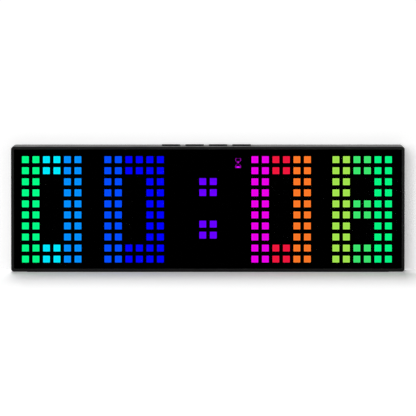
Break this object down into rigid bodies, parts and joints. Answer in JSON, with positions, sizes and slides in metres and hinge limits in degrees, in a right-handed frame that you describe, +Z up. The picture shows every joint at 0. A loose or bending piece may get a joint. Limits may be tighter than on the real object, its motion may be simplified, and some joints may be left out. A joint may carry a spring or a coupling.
{
  "type": "digital light-pixel clock and timer",
  "caption": "Wide low desk clock and timer that writes the time in coloured square light pixels behind a smoked lens, with top buttons and a rear battery door.",
  "frame": {"origin": "centre of the footprint, on the surface the rubber strips stand on", "axes": "+Z up, the display faces -Y, +X to the viewer's right"},
  "size_m": [0.2002, 0.036, 0.0649],
  "materials": {
    "case_black": "fine satin black moulded plastic",
    "cover_black": "finely textured black moulded plastic",
    "button_black": "satin black moulded plastic",
    "smoked_lens": "polished smoked acrylic",
    "tape": "black double-sided tape",
    "black_print": "matt black printed film",
    "grid_black": "matt black moulded plastic",
    "dark_tile": "smoked diffuser, unlit",
    "light_mint": "diffuser lit from behind",
    "light_cyan": "diffuser lit from behind",
    "light_sky": "diffuser lit from behind",
    "light_azure": "diffuser lit from behind",
    "light_blue": "diffuser lit from behind",
    "light_magenta": "diffuser lit from behind",
    "light_red": "diffuser lit from behind",
    "light_orange": "diffuser lit from behind",
    "light_lime": "diffuser lit from behind",
    "light_green": "diffuser lit from behind",
    "light_spring": "diffuser lit from behind",
    "light_violet": "diffuser lit from behind",
    "light_purple": "light guide lit from behind",
    "circuit_board": "green solder-mask laminate",
    "led_white": "white diode package",
    "chip_black": "black epoxy package",
    "steel": "nickel-plated steel",
    "screw_black": "black zinc-plated steel",
    "tin": "bright metal can",
    "rubber_black": "soft black rubber",
    "connector_white": "natural nylon",
    "ribbon_grey": "grey flat cable",
    "paper_black": "pressed paper cone",
    "cell_sleeve": "plain printed sleeve",
    "wire_red": "insulated wire",
    "wire_black": "insulated wire"
  },
  "bodies": {
    "case": {"battery_cell_1": "cell_sleeve", "battery_cell_2": "cell_sleeve", "battery_cell_3": "cell_sleeve", "battery_leads": "wire_red", "board_screws": "steel", "button_board": "circuit_board", "capacitors": "tin", "clock_crystal": "tin", "colon_tiles": "light_violet", "contact_plates": "steel", "contact_springs": "steel", "cover_screws": "screw_black", "dark_tiles": "dark_tile", "digit_1_left_tiles": "light_mint", "digit_1_middle_tiles": "light_cyan", "digit_1_right_tiles": "light_sky", "digit_2_left_tiles": "light_azure", "digit_2_middle_tiles": "light_blue", "digit_2_right_tiles": "light_blue", "digit_3_left_tiles": "light_magenta", "digit_3_middle_tiles": "light_red", "digit_3_right_tiles": "light_orange", "digit_4_left_tiles": "light_lime", "digit_4_middle_tiles": "light_green", "digit_4_right_tiles": "light_spring", "display_ribbon": "ribbon_grey", "driver_chips": "chip_black", "front_housing": "case_black", "front_lens": "smoked_lens", "led_board": "circuit_board", "lens_tape": "tape", "light_grid": "grid_black", "main_board": "circuit_board", "mask_film": "black_print", "microcontroller": "chip_black", "pixel_leds": "led_white", "power_socket": "steel", "rear_cover": "cover_black", "ribbon_connectors": "connector_white", "rubber_feet": "rubber_black", "sound_chip": "chip_black", "speaker_cone": "paper_black", "speaker_frame": "screw_black", "speaker_leads": "wire_black", "speaker_magnet": "steel", "switch_body_1": "chip_black", "switch_body_2": "chip_black", "switch_body_3": "chip_black", "switch_body_4": "chip_black", "timer_icon": "light_purple"},
    "button_1": {"button_1": "button_black", "switch_plunger_1": "button_black"},
    "button_2": {"button_2": "button_black", "switch_plunger_2": "button_black"},
    "button_3": {"button_3": "button_black", "switch_plunger_3": "button_black"},
    "button_4": {"button_4": "button_black", "switch_plunger_4": "button_black"},
    "door": {"battery_door": "cover_black"}
  },
  "joints": [
    {"name": "button_1_press", "type": "slide", "parent": "case", "child": "button_1", "axis": [0, 0, -1], "range_m": [0, 0.0004], "stiffness_N_per_m": 400},
    {"name": "button_2_press", "type": "slide", "parent": "case", "child": "button_2", "axis": [0, 0, -1], "range_m": [0, 0.0004], "stiffness_N_per_m": 400},
    {"name": "button_3_press", "type": "slide", "parent": "case", "child": "button_3", "axis": [0, 0, -1], "range_m": [0, 0.0004], "stiffness_N_per_m": 400},
    {"name": "button_4_press", "type": "slide", "parent": "case", "child": "button_4", "axis": [0, 0, -1], "range_m": [0, 0.0004], "stiffness_N_per_m": 400},
    {"name": "door_hinge", "type": "hinge", "parent": "case", "child": "door", "pos_m": [0.0465, 0.0168, 0.0157], "axis": [-1, 0, 0], "range_deg": [0, 90]}
  ]
}
